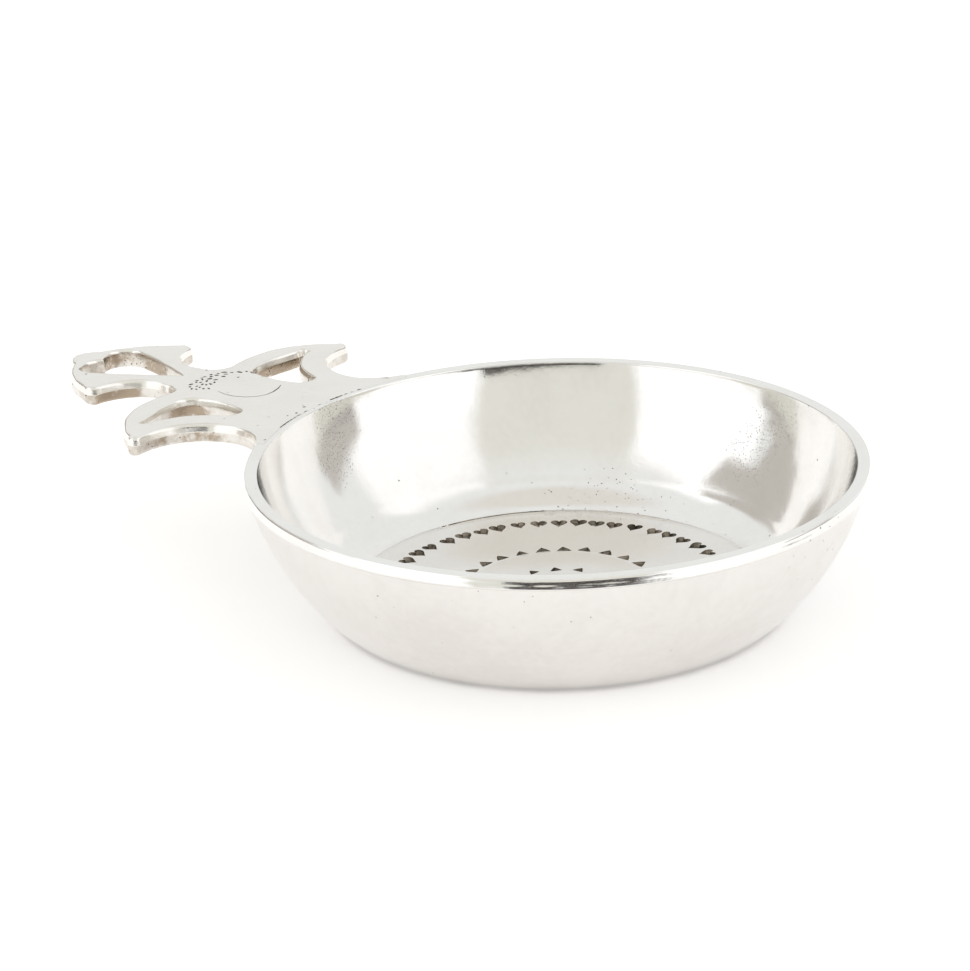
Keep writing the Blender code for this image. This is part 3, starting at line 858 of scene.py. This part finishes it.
def makeEar(ear, marks, shape):
    mesh = bmesh.new()
    topSlot, edgeSlot, dirtSlot = range(3)
    low, high = rimTop - ear["thickness"], rimTop
    hole = sideHole(ear)
    mirrored = [(along, -across) for along, across in reversed(hole)]
    outlines = [leanEnd(ear, loop) for loop in (earOutline(ear), hole, mirrored, heartHole(ear))]
    edges = ear["outerEdge"], ear["holeEdge"], ear["holeEdge"], ear["heartEdge"]
    bottoms, tops = [], []
    for outline, (soft, leaning) in zip(outlines, edges):
        under, over = edgeLevels(ear, low, high, soft, leaning)
        loops = []
        for inset, z in under + over:
            loops.append(ring(mesh, alongEar(lumpy(ear, easeIn(ear, outline, inset), z)), z))
        # the lower walls take the darker side finish, partly tarnish and partly painted shade; the leaning
        # part and the top rounding take the top's pewter
        skinRings(mesh, loops[:len(under) + 1], edgeSlot)
        skinRings(mesh, loops[len(under):], topSlot)
        bottoms.append(loops[0])
        tops.append(loops[-1])
    pitOutlines, scribe, beads = earMarkOutlines(ear, marks)
    fillFlat(mesh, low, bottoms[0], bottoms[1:], [])
    loops = fillFlat(mesh, high, tops[0], tops[1:], [alongEar(o) for o in pitOutlines + [scribe]])
    for index, loop in enumerate(loops[:-1]):
        depth = marks["beadDepth"] if index < beads else marks["dashDepth"]
        sink(mesh, loop, depth * dice.uniform(*marks["pitRange"]), marks["pitSteps"], dirtSlot)
    trough = [mesh.verts.new(v.co - Vector((0, 0, marks["scribeDepth"]))) for v in loops[-1]]
    for here, there in zip(range(len(trough) // 2), reversed(range(len(trough)))):
        middle = (trough[here].co + trough[there].co) / 2
        for vert in (trough[here], trough[there]):
            vert.co = middle + (vert.co - middle) * marks["scribeFloor"]
    skinRings(mesh, [loops[-1], trough], dirtSlot)
    mesh.faces.new(trough).material_index = dirtSlot
    plate = newPiece("earPlate", mesh, [earPewter, earSideTarnishAndShade, punchDirt])
    # tongue: square to the seat above, clear of the bowl's wall below
    guide = bmesh.new()
    turns = turnsRound(shape["sides"])
    under = rimTop - ear["tongue"]
    section = [(rimRadius - ear["lap"], high + ear["spare"]), (rimRadius - ear["lap"], under),
               (wallRadius(shape, under, 0) + 2 * shape["seam"] + shape["bandProud"], under)]
    section += [(r + 2 * shape["seam"] + shape["bandProud"], z) for r, z in
                reversed(wallPoints(shape, low - ear["spare"], under, 0, 8))][1:]
    rings = [[guide.verts.new((r * math.cos(t), r * math.sin(t), z)) for t in turns] for r, z in section]
    skinRings(guide, rings)
    guide.faces.new(rings[0])
    guide.faces.new(rings[-1])
    carve(plate, newPiece("tongueGuide", guide, []))
    settle(plate, ear["sharp"], "pewter_ear", "ear")


# Solder run under the ear
solderShape = dict(
    leg=2.6 * mm, hollow=0.5 * mm, short=2.0, gap=0.06 * mm, lump=0.14 * mm, lumpRate=260.0,
    endPower=6, endSize=0.2, steps=120, sharp=40,
)


def makeSolder(solder, ear, shape):
    mesh = bmesh.new()
    under = rimTop - ear["thickness"] - solder["gap"]
    top = (wallRadius(shape, under, 0) + solder["gap"], under)
    foot = under - solder["leg"]
    wall = [(r + solder["gap"], z) for r, z in reversed(wallPoints(shape, foot, under, 0, 6))]
    face = arcBetween(wall[-1], (top[0] + solder["leg"], under), solder["hollow"], 12)
    section = wall + face
    sweep, least = rootAngle(ear) - math.radians(solder["short"]), solder["endSize"]
    rings = []
    for step in range(solder["steps"] + 1):
        share = 2 * step / solder["steps"] - 1
        t = sweep * share
        # runs out towards its ends
        shrink = math.sqrt(max(0.0, 1 - abs(share) ** solder["endPower"])) * (1 - least) + least
        loop = []
        for index, (r, z) in enumerate(section):
            place = Vector((-r * math.cos(t), r * math.sin(t), z))
            if index > len(wall) - 1 and index < len(section) - 1:
                swell = solder["lump"] * noise.noise(place * solder["lumpRate"])
                r, z = r + swell, z - swell
            r = top[0] + (r - top[0]) * shrink
            z = top[1] + (z - top[1]) * shrink
            r = max(r, wallRadius(shape, z, 0) + solder["gap"])
            loop.append(mesh.verts.new((-r * math.cos(t), r * math.sin(t), z)))
        rings.append(loop)
    skinRings(mesh, rings)
    mesh.faces.new(rings[0])
    mesh.faces.new(rings[-1])
    settle(newPiece("solderRun", mesh, [solderGrey]), solder["sharp"], "solder", "solder_fillet")


makeBowl(bowlShape, floorMarks, earShape)
makeEar(earShape, earMarks, bowlShape)
makeSolder(solderShape, earShape, bowlShape)

# Stage and light: azimuths from the camera's side, positive to its right, and heights over the table
# all in degrees, as are the soft edges; a slanted side leans with height, a tilted top with azimuth
stageLook = dict(floorColour=(0.985, 0.982, 0.985), floorGlow=0.265, floorHalf=3, room=(0.87, 0.88, 0.872))
boxWhite, standGrey, gapDark = (1.23, 1.23, 1.23), (0.545, 0.515, 0.475), (0.02, 0.014, 0.01)
studioPanels = [
    # overhead
    dict(colour=(0.78, 0.755, 0.705), azimuth=(-200, 200), height=(68, 120), soft=(1, 6)),
    # the wall behind the camera
    dict(colour=(0.80, 0.795, 0.73), azimuth=(-48, 48), height=(-5, 50), soft=(4, 12)),
    # the two soft boxes
    dict(colour=boxWhite, azimuth=(-89, -30.5), height=(-5, 46), soft=(2.5, 5), slant=-0.22),
    dict(colour=(1.14, 1.14, 1.14), azimuth=(28.5, 92), height=(-5, 52), soft=(5, 8), slant=0.3),
    dict(colour=boxWhite, azimuth=(27.5, 86), height=(-5, 21), soft=(3, 5), slant=0.3),
    # stands beside them
    dict(colour=standGrey, azimuth=(-133, -94), height=(-5, 10), soft=(2, 3)),
    dict(colour=standGrey, azimuth=(-133, -99), height=(7, 24), soft=(2, 3)),
    dict(colour=standGrey, azimuth=(-124, -83.5), height=(22, 34.5), soft=(2, 2.5), tilt=0.3, middle=-104),
    dict(colour=(0.41, 0.38, 0.34), azimuth=(-112, -87), height=(-5, 4.4), soft=(3, 1)),
    dict(colour=(0.24, 0.21, 0.18), azimuth=(-176, -108), height=(-5, 7), soft=(4, 2)),
    dict(colour=standGrey, azimuth=(85, 113), height=(-5, 16), soft=(2, 3), tilt=0.25, middle=99),
    dict(colour=(0.40, 0.375, 0.35), azimuth=(86, 104), height=(-5, 5), soft=(2, 3)),
    # dark gap under the camera
    dict(colour=gapDark, azimuth=(-18, 28), height=(-5, 6.7), soft=(1.5, 0.4), tilt=0.05, middle=0),
    dict(colour=gapDark, azimuth=(20, 37), height=(-5, 3.6), soft=(2, 0.6)),
]


def makeFloor(look):
    mesh = bpy.data.meshes.new("paleFloor")
    half = look["floorHalf"]
    corners = [(-half, -half, 0), (half, -half, 0), (half, half, 0), (-half, half, 0)]
    mesh.from_pydata(corners, [], [(0, 1, 2, 3)])
    floor = bpy.data.objects.new("paleFloor", mesh)
    bpy.context.scene.collection.objects.link(floor)
    material = bpy.data.materials.new("paleFloor")
    material.use_nodes = True
    tree = material.node_tree
    tree.nodes.remove(tree.nodes["Principled BSDF"])
    paper = addNode(tree, "BsdfDiffuse", {"Color": (*look["floorColour"], 1)})
    path = addNode(tree, "LightPath")
    seen = calc(tree, "MAXIMUM", path.outputs["Is Camera Ray"], path.outputs["Is Glossy Ray"])
    seen = calc(tree, "MAXIMUM", seen, path.outputs["Is Transmission Ray"])
    strength = calc(tree, "MULTIPLY", seen, look["floorGlow"])
    glow = addNode(tree, "Emission", {"Color": (1, 1, 1, 1)}, {"Strength": strength})
    both = addNode(tree, "AddShader", None, {0: paper.outputs[0], 1: glow.outputs[0]})
    tree.links.new(both.outputs[0], tree.nodes["Material Output"].inputs["Surface"])
    mesh.materials.append(material)


def makeStudio(look, panels, azimuth):
    world = bpy.data.worlds.new("studio")
    bpy.context.scene.world = world
    world.use_nodes = True
    tree = world.node_tree
    ray = addNode(tree, "TexCoord").outputs["Generated"]
    turn = math.radians(azimuth)
    sides = []
    for way in ((math.cos(turn), math.sin(turn), 0), (math.sin(turn), -math.cos(turn), 0)):  # right, near
        node = addNode(tree, "VectorMath", {1: way}, {0: ray}, operation="DOT_PRODUCT")
        sides.append(node.outputs["Value"])
    around = calc(tree, "DEGREES", calc(tree, "ARCTAN2", *sides))
    up = addNode(tree, "SeparateXYZ", None, {"Vector": ray}).outputs["Z"]
    height = calc(tree, "DEGREES", calc(tree, "ARCSINE", up))
    colour = look["room"]
    for panel in panels:
        edge, level = around, height
        if "slant" in panel:
            edge = calc(tree, "MULTIPLY_ADD", height, -panel["slant"], around)
        if "tilt" in panel:
            aside = calc(tree, "SUBTRACT", around, panel["middle"])
            level = calc(tree, "MULTIPLY_ADD", aside, -panel["tilt"], height)
        wide, tall = panel["soft"]
        first, last = panel["azimuth"]
        low, high = panel["height"]
        mask = fade(tree, edge, first - wide, first + wide)
        mask = calc(tree, "MULTIPLY", mask, fade(tree, edge, last + wide, last - wide))
        mask = calc(tree, "MULTIPLY", mask, fade(tree, level, low - tall, low + tall))
        mask = calc(tree, "MULTIPLY", mask, fade(tree, level, high + tall, high - tall))
        colour = mixColour(tree, mask, colour, panel["colour"])
    colour = mixColour(tree, addNode(tree, "LightPath").outputs["Is Camera Ray"], colour, (1, 1, 1))
    tree.links.new(colour, tree.nodes["Background"].inputs["Color"])


makeFloor(stageLook)
makeStudio(stageLook, studioPanels, cameraView["azimuth"])
bpy.context.scene.view_settings.view_transform = "Standard"
print("stage and light made")
